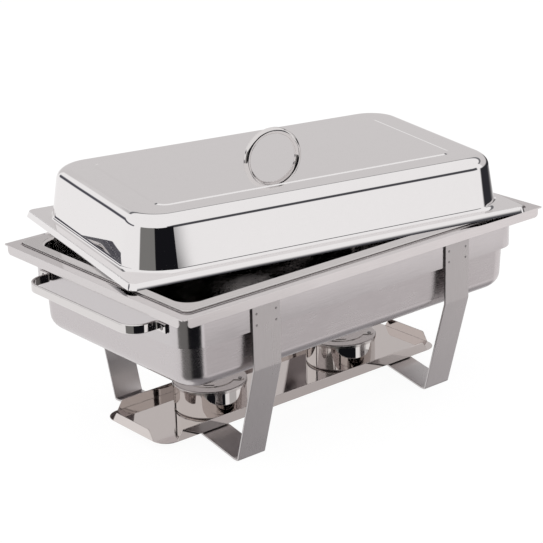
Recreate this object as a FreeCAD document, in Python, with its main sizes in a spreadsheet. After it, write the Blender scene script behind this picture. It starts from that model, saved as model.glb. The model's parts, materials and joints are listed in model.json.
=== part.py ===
"""Full-size chafing dish: frame with two strap legs, nested pans, loose lid, burner tray and fuel cups.

Row frame: X runs along the dish, Y from the serving side to the back, Z up, with Z = 0 on the table.
All lengths are millimetres.
"""

import math
import os

import FreeCAD
import Part
import Sketcher

from FreeCAD import Placement, Rotation, Vector

SIZES = (
    ("past", 1, "how far a cutting tool runs past the metal"),
    ("steel_thin", 1.0, "sheet gauge of rim, skirt, tray"),
    ("pan_gauge", 0.8, "sheet gauge of the pans and cups"),
    ("rim_long", 558, "outer length of the folded rim"),
    ("rim_deep", 350, "outer depth of the folded rim"),
    ("rim_top", 218.5, "height of the rim above the table"),
    ("fascia_drop", 11.5, "height of the folded rim edge"),
    ("rim_corner", 1.5, "corner radius of the folded rim"),
    ("corner_relief", 7, "notch left where two folded edges meet"),
    ("relief_stop", 0.6, "sheet left between a notch and the rim's flat"),
    ("tab_round", 5, "rounding at the ends of the folded edges"),
    ("seat_long", 534, "length of the seat the pan flange drops into"),
    ("seat_deep", 329, "depth of the seat the pan flange drops into"),
    ("seat_step", 3, "drop from rim top to seat"),
    ("mouth_long", 516, "opening in the rim"),
    ("mouth_deep", 303, "opening in the rim"),
    ("skirt_long", 523, "outer length of the skirt"),
    ("skirt_deep", 308, "outer depth of the skirt"),
    ("skirt_low", 170, "height of the skirt's lower edge"),
    ("skirt_corner", 30, "outer corner radius of the skirt"),
    ("strap_wide", 40, "width of a leg strap"),
    ("strap_gauge", 2.5, "thickness of a leg strap"),
    ("leg_pitch", 300, "distance between the two leg straps"),
    ("strap_clear", 1, "gap between the strap tops and the rim"),
    ("knee_up", 123.5, "height where the leg bends inwards"),
    ("knee_bend", 6, "bend radius at the knee"),
    ("foot_out", 122, "distance of the foot from the middle"),
    ("foot_bend", 2.5, "bend radius at the foot"),
    ("toe_long", 8, "length of the foot resting on the table"),
    ("toe_bend", 8, "bend radius behind the foot"),
    ("bridge_up", 12.5, "height of the strap's level middle part"),
    ("bridge_half", 50, "half length of the level middle part"),
    ("bridge_bend", 40, "bend radius at the level middle part"),
    ("rivet_wide", 3, "diameter of the small flush rivets"),
    ("rivet_pitch", 28, "rivet spacing across the strap"),
    ("rivet_drop", 13.5, "rivet spacing down the strap"),
    ("rivet_up", 190, "height of the upper row of rivets"),
    ("rivet_proud", 0.3, "how far a leg rivet stands out at each end"),
    ("running_gap", 0.02, "radial gap round rivets and pins"),
    ("grip_up", 190, "height of the end handles"),
    ("grip_out", 37, "reach of a handle from the skirt"),
    ("grip_half", 105, "half distance between a handle's two arms"),
    ("grip_bend", 22, "bend radius of a handle"),
    ("grip_foot_bend", 3.5, "bend radius where a handle meets its tab"),
    ("grip_thick", 3.2, "thickness of the handle strap"),
    ("grip_tall", 11, "height of the handle strap"),
    ("grip_edge", 1.1, "rounding along the handle strap"),
    ("grip_tab", 18, "length of the tab at each end of a handle"),
    ("grip_pin", 10.8, "distance of a handle rivet from the arm"),
    ("pin_wide", 4, "shank of the handle rivets and lid screws"),
    ("pin_head_wide", 6.4, "head of a handle rivet"),
    ("pin_head_tall", 1, "thickness of a handle rivet's head"),
    ("flange_long", 530, "Gastronorm 1/1 flange length"),
    ("flange_deep", 325, "Gastronorm 1/1 flange depth"),
    ("flange_corner", 9, "corner radius of the pan flanges"),
    ("flange_lip", 2.8, "height of the turned-down flange edge"),
    ("water_long", 512, "water pan body length at the top"),
    ("water_deep", 298, "water pan body depth at the top"),
    ("water_low", 114.4, "height of the water pan's bottom"),
    ("water_corner", 28, "water pan corner radius"),
    ("water_bend", 19, "water pan bottom edge radius"),
    ("food_long", 506, "food pan body length at the top"),
    ("food_deep", 292, "food pan body depth at the top"),
    ("food_low", 156.3, "height of the food pan's bottom"),
    ("food_corner", 25, "food pan corner radius"),
    ("food_bend", 14, "food pan bottom edge radius"),
    ("pan_draft", 4, "how far each pan wall leans in"),
    ("rest_gap", 0.1, "gap left between stacked pieces"),
    ("lid_long", 523, "lid flange length"),
    ("lid_deep", 318, "lid flange depth"),
    ("lid_corner", 7, "corner radius of the lid flange"),
    ("lid_lip", 7, "height of the lid's flared edge"),
    ("lid_flare", 3.5, "outward flare of the lid's edge"),
    ("dome_long", 498, "dome length at the flange"),
    ("dome_deep", 296, "dome depth at the flange"),
    ("dome_tall", 62.5, "dome height above the flange"),
    ("dome_lean", 10, "how far the dome walls lean in"),
    ("dome_corner", 50, "dome corner radius"),
    ("dome_edge", 16, "radius round the top of the dome"),
    ("panel_long", 390, "length of the raised top panel"),
    ("panel_deep", 194, "depth of the raised top panel"),
    ("panel_rise", 0.8, "height of the raised top panel"),
    ("panel_corner", 12, "corner radius of the raised top panel"),
    ("lid_turn", -12, "how far the lid is laid askew, degrees"),
    ("lid_shift_x", 19.8, "lid centre along the dish"),
    ("lid_shift_y", 31, "lid centre across the dish"),
    ("arch_half", 35, "radius of the lid handle's arch"),
    ("arch_bar", 8.5, "diameter of the lid handle's bar"),
    ("screw_grip", 9, "length of a lid screw below its head"),
    ("screw_head_wide", 8, "head of a lid screw"),
    ("screw_head_tall", 2.6, "thickness of a lid screw's head"),
    ("washer_wide", 11, "outer diameter of a lid washer"),
    ("washer_thick", 1, "thickness of a lid washer"),
    ("tray_long", 446, "burner tray length"),
    ("tray_deep", 121, "burner tray depth"),
    ("tray_corner", 20, "burner tray corner radius"),
    ("tray_wall", 12, "height of the tray's upstands"),
    ("tray_slope", 8.4, "run of the sloping end of an upstand"),
    ("tray_ear", 4, "corner radius of an upstand"),
    ("tray_x", -5, "tray centre along the dish"),
    ("tray_y", 3, "tray centre across the dish"),
    ("cup_wide", 89, "fuel cup diameter"),
    ("cup_tall", 35, "fuel cup height"),
    ("cup_left", -115.5, "left fuel cup centre"),
    ("cup_right", 96, "right fuel cup centre"),
    ("cup_y", -2.5, "fuel cup centre across the dish"),
    ("cup_bend", 3, "radius round the cup's foot"),
    ("cap_play", 0.1, "gap between a cap and its cup"),
    ("cap_edge", 0.7, "radius round the cap"),
    ("cap_skirt", 3.5, "height of the cap's turned-down edge"),
    ("flame_wide", 50, "flame opening of the cap"),
    ("damper_wide", 60, "diameter of the swivelling damper"),
    ("damper_reach", 37, "pivot distance from the cup's middle"),
    ("damper_turn", -47, "direction of the damper's pivot, degrees"),
    ("damper_gap", 0.05, "gap between the damper and the cap"),
    ("ear_wide", 10, "width of the damper's ear"),
    ("slot_long", 13, "length of the damper's lifting slot"),
    ("slot_wide", 3, "width of the damper's lifting slot"),
    ("slot_out", 24, "distance of the slot from the damper's middle"),
    ("slot_turn", -130, "direction of the slot, degrees"),
    ("pivot_head_wide", 4.8, "head of the damper's rivet"),
    ("pivot_head_tall", 0.8, "thickness of the damper rivet's head"),
    ("pivot_tail_wide", 4.5, "closed end of the damper's rivet"),
    ("pivot_tail_tall", 0.5, "thickness of the rivet's closed end"),
    ("pivot_play", 0.1, "gap under the damper rivet's head"),
    ("tin_wide", 80, "fuel tin diameter"),
    ("tin_tall", 30, "fuel tin height"),
    ("tin_mouth", 52, "mouth of the fuel tin"),
    ("tin_gauge", 0.6, "sheet gauge of the fuel tin"),
    ("tin_bend", 1.5, "radius round the tin's shoulder"),
)

doc = FreeCAD.newDocument("chafing_dish")
sheet = doc.addObject("Spreadsheet::Sheet", "sizes")
for row, (word, value, note) in enumerate(SIZES, start=1):
    sheet.set("A" + str(row), word)
    sheet.set("B" + str(row), str(value))
    sheet.set("C" + str(row), note)
    sheet.setAlias("B" + str(row), word)
doc.recompute()


class Length:
    """A length that carries both its number and the formula that ties it to the sheet."""

    def __init__(self, value, formula=None):
        self.value = float(value)
        self.formula = formula if formula else repr(float(value))

    def join(self, sign, other, value):
        return Length(value, "(" + self.formula + " " + sign + " " + other.formula + ")")

    def __add__(self, other):
        other = as_length(other)
        return self.join("+", other, self.value + other.value)

    def __sub__(self, other):
        other = as_length(other)
        return self.join("-", other, self.value - other.value)

    def __mul__(self, other):
        other = as_length(other)
        return self.join("*", other, self.value * other.value)

    def __truediv__(self, other):
        other = as_length(other)
        return self.join("/", other, self.value / other.value)

    def __neg__(self):
        return Length(-self.value, "(0 - " + self.formula + ")")


def as_length(number):
    """Wrap a bare number so it can be combined with sheet sizes."""
    return number if isinstance(number, Length) else Length(number)


SIZE = {word: Length(value, "sizes." + word) for word, value, note in SIZES}


def size(word):
    """Return one size of the sheet."""
    return SIZE[word]


def bind(thing, prop, length):
    """Tie a property to the sheet."""
    thing.setExpression(prop, as_length(length).formula)


def origin_plane(body, role):
    """Return one of a body's own origin planes."""
    return [f for f in body.Origin.OriginFeatures if f.Role == role][0]


def new_body(name):
    """Start an empty body."""
    return doc.addObject("PartDesign::Body", name)


def new_sketch(body, name, role="XY_Plane", lift=0):
    """Attach an empty sketch to a body's origin plane, lifted along the plane's normal."""
    sketch = body.newObject("Sketcher::SketchObject", name)
    sketch.AttachmentSupport = [(origin_plane(body, role), "")]
    sketch.MapMode = "FlatFace"
    lift = as_length(lift)
    sketch.AttachmentOffset = Placement(Vector(0, 0, lift.value), Rotation())
    bind(sketch, "AttachmentOffset.Base.z", lift)
    return sketch


def unit_between(start, end):
    """Return the unit vector from one point to another."""
    step = end - start
    return step / step.Length


def trace(sketch, corners, radii, closed=True):
    """Draw a fully tied outline through corner points, rounding each corner by its radius.

    A radius of None leaves the corner sharp. Ends of an open line are always sharp.
    """
    corners = [(as_length(x), as_length(y)) for x, y in corners]
    count = len(corners)
    points = [Vector(x.value, y.value, 0) for x, y in corners]
    radii = [None if r is None else as_length(r) for r in radii]
    if not closed:
        radii[0] = None
        radii[-1] = None
    cuts = []
    for i, point in enumerate(points):
        if radii[i] is None:
            cuts.append((point, point, None))
            continue
        back = unit_between(point, points[i - 1])
        ahead = unit_between(point, points[(i + 1) % count])
        half = back.getAngle(ahead) / 2
        reach = radii[i].value / math.tan(half)
        middle = point + (back + ahead).normalize() * (radii[i].value / math.sin(half))
        cuts.append((point + back * reach, point + ahead * reach, middle))
    lines = []
    last = count if closed else count - 1
    for i in range(last):
        line = Part.LineSegment(cuts[i][1], cuts[(i + 1) % count][0])
        lines.append(sketch.addGeometry(line, False))
    for i, (x, y) in enumerate(corners):
        before = lines[i - 1] if (closed or i > 0) else None
        after = lines[i] if (closed or i < count - 1) else None
        if radii[i] is None:
            if before is not None and after is not None:
                sketch.addConstraint(Sketcher.Constraint("Coincident", before, 2, after, 1))
            target = (after, 1) if after is not None else (before, 2)
        else:
            start, end, middle = cuts[i]
            turn = (start - middle).cross(end - middle).z
            first, second = (start, end) if turn > 0 else (end, start)
            low = math.atan2(first.y - middle.y, first.x - middle.x)
            high = math.atan2(second.y - middle.y, second.x - middle.x)
            if high < low:
                high += 2 * math.pi
            circle = Part.Circle(middle, Vector(0, 0, 1), radii[i].value)
            arc = sketch.addGeometry(Part.ArcOfCircle(circle, low, high), False)
            near, far = (1, 2) if turn > 0 else (2, 1)
            sketch.addConstraint(Sketcher.Constraint("Tangent", before, 2, arc, near))
            sketch.addConstraint(Sketcher.Constraint("Tangent", arc, far, after, 1))
            key = sketch.addConstraint(Sketcher.Constraint("Radius", arc, radii[i].value))
            bind(sketch, "Constraints[" + str(key) + "]", radii[i])
            knot = sketch.addGeometry(Part.Point(points[i]), True)
            sketch.addConstraint(Sketcher.Constraint("PointOnObject", knot, 1, before))
            sketch.addConstraint(Sketcher.Constraint("PointOnObject", knot, 1, after))
            target = (knot, 1)
        for kind, length in (("DistanceX", x), ("DistanceY", y)):
            rule = Sketcher.Constraint(kind, -1, 1, target[0], target[1], length.value)
            key = sketch.addConstraint(rule)
            bind(sketch, "Constraints[" + str(key) + "]", length)
    return sketch


def box_corners(long, deep):
    """Corners of a centred rectangle."""
    x = as_length(long) / 2
    y = as_length(deep) / 2
    return ((-x, -y), (x, -y), (x, y), (-x, y))


def round_box(body, name, lift, long, deep, corner):
    """Sketch a centred rectangle with rounded corners at a height."""
    sketch = new_sketch(body, name, "XY_Plane", lift)
    return trace(sketch, box_corners(long, deep), [corner] * 4)


def pad(body, sketch, length, reverse=False):
    """Add material from a sketch."""
    feature = body.newObject("PartDesign::Pad", sketch.Name + "_pad")
    feature.Profile = sketch
    feature.Reversed = reverse
    bind(feature, "Length", length)
    doc.recompute()
    return feature


def draft(body, sketch, length, lean, add=True, upward=False):
    """Add a block or sink a cavity whose walls lean in by a set amount at the far end."""
    kind = "PartDesign::Pad" if add else "PartDesign::Pocket"
    feature = body.newObject(kind, sketch.Name + "_draft")
    feature.Profile = sketch
    feature.Reversed = upward != add
    bind(feature, "Length", length)
    feature.setExpression("TaperAngle", "-1 * atan(" + lean.formula + " / " + length.formula + ")")
    doc.recompute()
    return feature


def pocket(body, sketch, length, upward=False):
    """Remove material from a sketch, downwards unless told to go upwards."""
    feature = body.newObject("PartDesign::Pocket", sketch.Name + "_cut")
    feature.Profile = sketch
    feature.Reversed = upward
    bind(feature, "Length", length)
    before = body.Shape.Volume
    doc.recompute()
    if not body.Shape.Volume < before - 1e-6:
        raise RuntimeError(feature.Name + " cut nothing")
    return feature


def round_edges(body, name, radius, picker):
    """Fillet every edge of the body that the picker accepts."""
    chosen = []
    for number, edge in enumerate(body.Shape.Edges, start=1):
        if picker(edge):
            chosen.append("Edge" + str(number))
    base = body.Tip
    feature = body.newObject("PartDesign::Fillet", name)
    feature.Base = (base, chosen)
    bind(feature, "Radius", radius)
    doc.recompute()
    return feature


def level_edge(height, long_limit, deep_limit):
    """Pick the edges lying at one height and inside a rectangle."""
    def accept(edge):
        box = edge.BoundBox
        flat = abs(box.ZMin - height) < 1e-4 and abs(box.ZMax - height) < 1e-4
        return flat and box.XMax < long_limit / 2 + 0.01 and box.YMax < deep_limit / 2 + 0.01
    return accept


def finish(thing, label):
    """Name a finished sub-part after its file."""
    thing.Label = label
    return thing


def cylinder(name, radius, height, at, axis=Vector(0, 0, 1)):
    """Make a round bar with its foot at a point."""
    bar = doc.addObject("Part::Cylinder", name)
    bind(bar, "Radius", radius)
    bind(bar, "Height", height)
    spin = Rotation(Vector(0, 0, 1), axis)
    x, y, z = (as_length(v) for v in at)
    bar.Placement = Placement(Vector(x.value, y.value, z.value), spin)
    for letter, length in (("x", x), ("y", y), ("z", z)):
        bind(bar, "Placement.Base." + letter, length)
    return bar


def bundle(name, members):
    """Keep several separate solids together in one sub-part."""
    group = doc.addObject("Part::Compound", name)
    group.Links = members
    return group


def cut(name, base, tool):
    """Take one shape out of another."""
    result = doc.addObject("Part::Cut", name)
    result.Base = base
    result.Tool = tool
    doc.recompute()
    return result


def fuse(name, members):
    """Weld several shapes into one solid."""
    result = doc.addObject("Part::MultiFuse", name)
    result.Shapes = members
    result.Refine = True
    doc.recompute()
    return result


LEG_SIDES = (("left", -1), ("right", 1))


def rivet_spots():
    """Yield the four rivet positions on each of the four strap tops as (x, side, z)."""
    for word, way in LEG_SIDES:
        for side in (-1, 1):
            for across in (-1, 1):
                for row in (0, 1):
                    x = size("leg_pitch") / 2 * way + size("rivet_pitch") / 2 * across
                    z = size("rivet_up") - size("rivet_drop") * row
                    yield x, side, z


def rivet_bars(name, radius, start, length):
    """Make a round bar through the strap and skirt at every rivet position."""
    bars = []
    for number, (x, side, z) in enumerate(rivet_spots(), start=1):
        y = as_length(start) * side
        bars.append(cylinder(name + str(number), radius, length, (x, y, z), Vector(0, side, 0)))
    return bundle(name, bars)


def make_rim():
    """Folded sheet rim: flat border, turned-down edges and a sunken seat for the pans."""
    body = new_body("rim_body")
    gauge = size("steel_thin")
    top = size("rim_top")
    low = top - size("fascia_drop")
    seat = top - size("seat_step")
    block = round_box(body, "rim_block", low, size("rim_long"), size("rim_deep"), size("rim_corner"))
    pad(body, block, size("fascia_drop"))
    inner_long = size("rim_long") - gauge * 2
    inner_deep = size("rim_deep") - gauge * 2
    hollow = round_box(body, "rim_hollow", low, inner_long, inner_deep, size("rim_corner") - gauge)
    pocket(body, hollow, size("fascia_drop") - gauge, upward=True)
    box = round_box(body, "seat_block", seat - gauge, size("seat_long") + gauge * 2,
                    size("seat_deep") + gauge * 2, size("flange_corner") + gauge * 2)
    pad(body, box, size("seat_step"))
    dip = round_box(body, "seat_dip", top, size("seat_long"), size("seat_deep"),
                    size("flange_corner") + gauge)
    pocket(body, dip, size("seat_step"))
    mouth = round_box(body, "rim_mouth", top, size("mouth_long"), size("mouth_deep"),
                      size("water_corner") + gauge * 2)
    pocket(body, mouth, size("seat_step") + gauge * 2)
    relief = size("corner_relief")
    for number, (along, across) in enumerate(((-1, -1), (1, -1), (1, 1), (-1, 1)), start=1):
        x = size("rim_long") / 2 * along
        y = size("rim_deep") / 2 * across
        notch = new_sketch(body, "relief" + str(number), "XY_Plane", low - size("past"))
        far_x = x + along
        far_y = y + across
        near_x = x - relief * along
        near_y = y - relief * across
        trace(notch, ((near_x, near_y), (far_x, near_y), (far_x, far_y), (near_x, far_y)), [None] * 4)
        pocket(body, notch, size("fascia_drop") - gauge + size("past") - size("relief_stop"), upward=True)
    bottom = low.value

    def tab_end(edge):
        box = edge.BoundBox
        short = abs(edge.Length - gauge.value) < 1e-3
        return short and abs(box.ZMin - bottom) < 1e-4 and abs(box.ZMax - bottom) < 1e-4

    round_edges(body, "tab_rounding", size("tab_round"), tab_end)
    return finish(body, "rim")


def make_skirt(holes):
    """Deep rounded band under the rim, holed for rivets and handle pins."""
    body = new_body("skirt_body")
    gauge = size("steel_thin")
    tall = size("rim_top") - size("seat_step") - gauge - size("skirt_low")
    outer = round_box(body, "skirt_outer", size("skirt_low"), size("skirt_long"), size("skirt_deep"),
                      size("skirt_corner"))
    pad(body, outer, tall)
    inner = round_box(body, "skirt_inner", size("skirt_low"), size("skirt_long") - gauge * 2,
                      size("skirt_deep") - gauge * 2, size("skirt_corner") - gauge)
    pocket(body, inner, tall, upward=True)
    return finish(cut("skirt_cut", body, holes), "skirt")


def make_leg(side_word, way, holes):
    """One strap bent into both legs and the bridge under the tray."""
    body = new_body("leg_" + side_word + "_body")
    half = size("strap_gauge") / 2
    face = size("skirt_deep") / 2 + half
    top = size("rim_top") - size("seat_step") - size("steel_thin") - size("strap_clear")
    foot = size("foot_out") - half
    toe = size("foot_out") - size("toe_long")
    rise = size("bridge_half")
    level = size("bridge_up") + half
    front = [(-face, top), (-face, size("knee_up")), (-foot, half), (-toe, half), (-rise, level)]
    back = [(-y, z) for y, z in reversed(front)]
    bends = [None, size("knee_bend"), size("foot_bend"), size("toe_bend"), size("bridge_bend")]
    spine = new_sketch(body, "leg_spine_" + side_word, "YZ_Plane", size("leg_pitch") / 2 * way)
    trace(spine, front + back, bends + bends[::-1], closed=False)
    profile = new_sketch(body, "leg_section_" + side_word, "XY_Plane", top)
    middle = size("leg_pitch") / 2 * way
    side = size("strap_wide") / 2
    trace(profile, ((middle - side, -face - half), (middle + side, -face - half),
                    (middle + side, -face + half), (middle - side, -face + half)), [None] * 4)
    pipe = body.newObject("PartDesign::AdditivePipe", "leg_pipe_" + side_word)
    pipe.Profile = profile
    pipe.Spine = spine
    doc.recompute()
    return finish(cut("leg_cut_" + side_word, body, holes), "leg_" + side_word)


def make_rivets():
    """Sixteen small rivets holding the straps to the skirt."""
    inside = size("skirt_deep") / 2 - size("steel_thin") - size("rivet_proud")
    grip = size("steel_thin") + size("strap_gauge") + size("rivet_proud") * 2
    return finish(rivet_bars("leg_rivet", size("rivet_wide") / 2, inside, grip), "leg_rivets")


def make_rivet_holes():
    """Clearance bores for the leg rivets."""
    inside = size("skirt_deep") / 2 - size("steel_thin") - size("past")
    radius = size("rivet_wide") / 2 + size("running_gap")
    through = size("steel_thin") + size("strap_gauge") + size("past") * 2
    return rivet_bars("rivet_hole", radius, inside, through)


def pin_spots():
    """Yield the four handle rivet positions as (way, y)."""
    for way in (-1, 1):
        for side in (-1, 1):
            yield way, (size("grip_half") + size("grip_pin")) * side


def make_pins():
    """Four low-headed rivets through the handle tabs and the skirt."""
    pins = []
    face = size("skirt_long") / 2 + size("grip_thick")
    head_tall = size("pin_head_tall")
    inside = size("skirt_long") / 2 - size("steel_thin") - head_tall
    for number, (way, y) in enumerate(pin_spots(), start=1):
        axis = Vector(way, 0, 0)
        z = size("grip_up")
        shank = cylinder("pin_shank" + str(number), size("pin_wide") / 2, face - inside + head_tall / 2,
                         (inside * way, y, z), axis)
        wide = size("pin_head_wide") / 2
        head = cylinder("pin_head" + str(number), wide, head_tall, (face * way, y, z), axis)
        tail = cylinder("pin_tail" + str(number), wide, head_tall, (inside * way, y, z), axis)
        pins.append(fuse("pin" + str(number), [shank, head, tail]))
    return finish(bundle("handle_pins_group", pins), "handle_rivets")


def make_pin_holes():
    """Clearance bores for the handle rivets."""
    bars = []
    radius = size("pin_wide") / 2 + size("running_gap")
    for number, (way, y) in enumerate(pin_spots(), start=1):
        inside = size("skirt_long") / 2 - size("steel_thin") - size("past")
        through = size("steel_thin") + size("grip_thick") + size("past") * 2
        at = (inside * way, y, size("grip_up"))
        bars.append(cylinder("pin_hole" + str(number), radius, through, at, Vector(way, 0, 0)))
    return bundle("pin_holes", bars)


def make_end_handle(word, way, holes):
    """Thick polished strap bent into a U, with a tab at each end lying on the skirt."""
    body = new_body("handle_" + word + "_body")
    thick = size("grip_thick") / 2
    tall = size("grip_tall") / 2
    inner = (size("skirt_long") / 2 + thick) * way
    outer = (size("skirt_long") / 2 + size("grip_out") - thick) * way
    arm = size("grip_half")
    end = arm + size("grip_tab")
    bend = size("grip_bend")
    foot = size("grip_foot_bend")
    spine = new_sketch(body, "grip_spine_" + word, "XY_Plane", size("grip_up"))
    trace(spine, ((inner, -end), (inner, -arm), (outer, -arm), (outer, arm), (inner, arm), (inner, end)),
          [None, foot, bend, bend, foot, None], closed=False)
    profile = new_sketch(body, "grip_section_" + word, "XZ_Plane", end)
    z = size("grip_up")
    trace(profile, ((inner - thick, z - tall), (inner + thick, z - tall), (inner + thick, z + tall),
                    (inner - thick, z + tall)), [size("grip_edge")] * 4)
    pipe = body.newObject("PartDesign::AdditivePipe", "grip_pipe_" + word)
    pipe.Profile = profile
    pipe.Spine = spine
    doc.recompute()
    return finish(cut("grip_cut_" + word, body, holes), "end_handle_" + word)


def drafted_block(body, name, lift, long, deep, corner, tall, lean, bend, upward=False):
    """Add a block with leaning walls whose far end is rounded all the way round."""
    sketch = round_box(body, name, lift, long, deep, corner)
    draft(body, sketch, tall, lean, upward=upward)
    far = as_length(lift) + tall if upward else as_length(lift) - tall
    round_edges(body, name + "_round", bend, level_edge(far.value, long.value, deep.value))


def make_pan(label, flange_top, low, long, deep, corner, bend):
    """Drawn steel pan with leaning walls, rounded bottom and a flange with a turned-down edge."""
    gauge = size("pan_gauge")
    thin = gauge * 2
    lean = size("pan_draft")
    lip = size("flange_lip")
    body = new_body(label + "_body")
    drafted_block(body, label + "_outer", flange_top, long, deep, corner, flange_top - low, lean, bend)
    flange = round_box(body, label + "_flange", flange_top, size("flange_long"), size("flange_deep"),
                       size("flange_corner"))
    pad(body, flange, lip, reverse=True)
    under = new_sketch(body, label + "_under", "XY_Plane", flange_top - lip)
    trace(under, box_corners(size("flange_long") - thin, size("flange_deep") - thin),
          [size("flange_corner") - gauge] * 4)
    trace(under, box_corners(long, deep), [corner] * 4)
    pocket(body, under, lip - gauge, upward=True)
    hollow = new_body(label + "_hollow")
    drafted_block(hollow, label + "_inner", flange_top, long - thin, deep - thin, corner - gauge,
                  flange_top - low - gauge, lean, bend - gauge)
    return finish(cut(label + "_cut", body, hollow), label)


def place_on_lid(thing):
    """Lay a lid piece, drawn about the lid's own middle, askew on the dish."""
    level = size("rim_top") + size("flange_lip") + size("rest_gap") * 2 + size("lid_lip")
    spin = Rotation(Vector(0, 0, 1), size("lid_turn").value)
    x = size("lid_shift_x")
    y = size("lid_shift_y")
    thing.Placement = Placement(Vector(x.value, y.value, level.value), spin)
    bind(thing, "Placement.Base.x", x)
    bind(thing, "Placement.Base.y", y)
    bind(thing, "Placement.Base.z", level)
    thing.setExpression("Placement.Rotation.Angle", "sizes.lid_turn * 1 deg")
    return thing


def make_lid_shell(screw_holes):
    """Drawn dome with a flat flange, a flared edge and a raised panel on top."""
    gauge = size("pan_gauge")
    thin = gauge * 2
    tall = size("dome_tall")
    lip = size("lid_lip")
    flare = -size("lid_flare")
    lean = size("dome_lean")
    long = size("dome_long")
    deep = size("dome_deep")
    panel_long = size("panel_long")
    panel_deep = size("panel_deep")
    body = new_body("lid_body")
    edge = round_box(body, "lid_edge", 0, size("lid_long"), size("lid_deep"), size("lid_corner"))
    draft(body, edge, lip, flare)
    drafted_block(body, "dome", 0, long, deep, size("dome_corner"), tall, lean, size("dome_edge"),
                  upward=True)
    panel = round_box(body, "panel", tall, panel_long, panel_deep, size("panel_corner"))
    pad(body, panel, size("panel_rise"))
    inner = new_body("lid_hollow")
    under = round_box(inner, "lid_edge_under", -gauge, size("lid_long") - thin, size("lid_deep") - thin,
                      size("lid_corner") - gauge)
    draft(inner, under, lip - gauge, flare)
    drafted_block(inner, "dome_hollow", -gauge, long - thin, deep - thin, size("dome_corner") - gauge,
                  tall, lean, size("dome_edge") - gauge, upward=True)
    ceiling = round_box(inner, "panel_under", tall - gauge, panel_long - thin, panel_deep - thin,
                        size("panel_corner") - gauge)
    pad(inner, ceiling, size("panel_rise"))
    shell = cut("lid_shell_cut", cut("lid_cut", body, inner), screw_holes)
    return finish(place_on_lid(shell), "lid_shell")


def lid_screw_bars(name, radius, low, length):
    """Round bars on the two lid screw axes."""
    bars = []
    for number, way in enumerate((-1, 1), start=1):
        bars.append(cylinder(name + str(number), radius, length, (size("arch_half") * way, 0, low)))
    return bundle(name, bars)


def lid_roof():
    """Height of the lid's top panel above its flange."""
    return size("dome_tall") + size("panel_rise")


def make_lid_handle():
    """Half-ring of round bar standing on the lid's panel, tapped for the two screws."""
    ring = doc.addObject("Part::Torus", "arch_ring")
    bind(ring, "Radius1", size("arch_half"))
    bind(ring, "Radius2", size("arch_bar") / 2)
    ring.Angle3 = 180
    ring.Placement = Placement(Vector(0, 0, lid_roof().value), Rotation(Vector(1, 0, 0), 90))
    bind(ring, "Placement.Base.z", lid_roof())
    start = lid_roof() - size("past")
    radius = size("pin_wide") / 2 + size("running_gap")
    bores = lid_screw_bars("arch_bore", radius, start, size("screw_grip"))
    return finish(place_on_lid(cut("arch_cut", ring, bores)), "lid_handle")


def make_lid_screws():
    """Two pan-head screws driven up into the lid handle from inside."""
    under = lid_roof() - size("pan_gauge") - size("washer_thick")
    screws = []
    for number, way in enumerate((-1, 1), start=1):
        x = size("arch_half") * way
        shank = cylinder("lid_shank" + str(number), size("pin_wide") / 2, size("screw_grip"), (x, 0, under))
        tall = size("screw_head_tall")
        head = cylinder("lid_head" + str(number), size("screw_head_wide") / 2, tall, (x, 0, under - tall))
        screws.append(fuse("lid_screw" + str(number), [shank, head]))
    return finish(place_on_lid(bundle("lid_screw_pair", screws)), "lid_screws")


def make_lid_washers():
    """Two washers under the lid screw heads."""
    under = lid_roof() - size("pan_gauge") - size("washer_thick")
    past = size("past")
    thick = size("washer_thick")
    plates = lid_screw_bars("washer_plate", size("washer_wide") / 2, under, thick)
    radius = size("pin_wide") / 2 + size("running_gap")
    bores = lid_screw_bars("washer_bore", radius, under - past, thick + past * 2)
    return finish(place_on_lid(cut("washer_cut", plates, bores)), "lid_washers")


def tray_floor():
    """Height of the tray's upper face."""
    return size("bridge_up") + size("strap_gauge") + size("rest_gap") + size("steel_thin")


def make_tray():
    """Polished sheet tray with a low upstand on each side and open rounded corners."""
    body = new_body("tray_body")
    gauge = size("steel_thin")
    low = tray_floor() - gauge
    x = size("tray_x")
    y = size("tray_y")
    half_long = size("tray_long") / 2
    half_deep = size("tray_deep") / 2
    plate = new_sketch(body, "tray_plate", "XY_Plane", low)
    trace(plate, ((x - half_long, y - half_deep), (x + half_long, y - half_deep),
                  (x + half_long, y + half_deep), (x - half_long, y + half_deep)), [size("tray_corner")] * 4)
    pad(body, plate, gauge)
    slope = size("tray_slope")
    top = low + gauge + size("tray_wall")
    ear = size("tray_ear")
    run = half_long - size("tray_corner")
    for number, side in enumerate((-1, 1), start=1):
        edge = y + half_deep * side
        wall = new_sketch(body, "tray_side" + str(number), "XZ_Plane", -edge)
        trace(wall, ((x - run, low), (x + run, low), (x + run - slope, top), (x - run + slope, top)),
              [None, None, ear, ear])
        pad(body, wall, gauge, reverse=side < 0)
    run = half_deep - size("tray_corner")
    for number, way in enumerate((-1, 1), start=1):
        edge = x + half_long * way
        wall = new_sketch(body, "tray_end" + str(number), "YZ_Plane", edge)
        trace(wall, ((y - run, low), (y + run, low), (y + run - slope, top), (y - run + slope, top)),
              [None, None, ear, ear])
        pad(body, wall, gauge, reverse=way > 0)
    return finish(body, "burner_tray")


def spun(name, label, x, corners, radii):
    """Turn an outline about the upright axis of a fuel cup."""
    body = new_body(name)
    sketch = new_sketch(body, name + "_outline", "XZ_Plane")
    trace(sketch, corners, radii)
    turn = body.newObject("PartDesign::Revolution", name + "_turn")
    turn.Profile = sketch
    turn.ReferenceAxis = (sketch, ["V_Axis"])
    turn.Angle = 360
    doc.recompute()
    body.Placement = Placement(Vector(x.value, size("cup_y").value, 0), Rotation())
    bind(body, "Placement.Base.x", x)
    bind(body, "Placement.Base.y", size("cup_y"))
    return finish(body, label)


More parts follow.
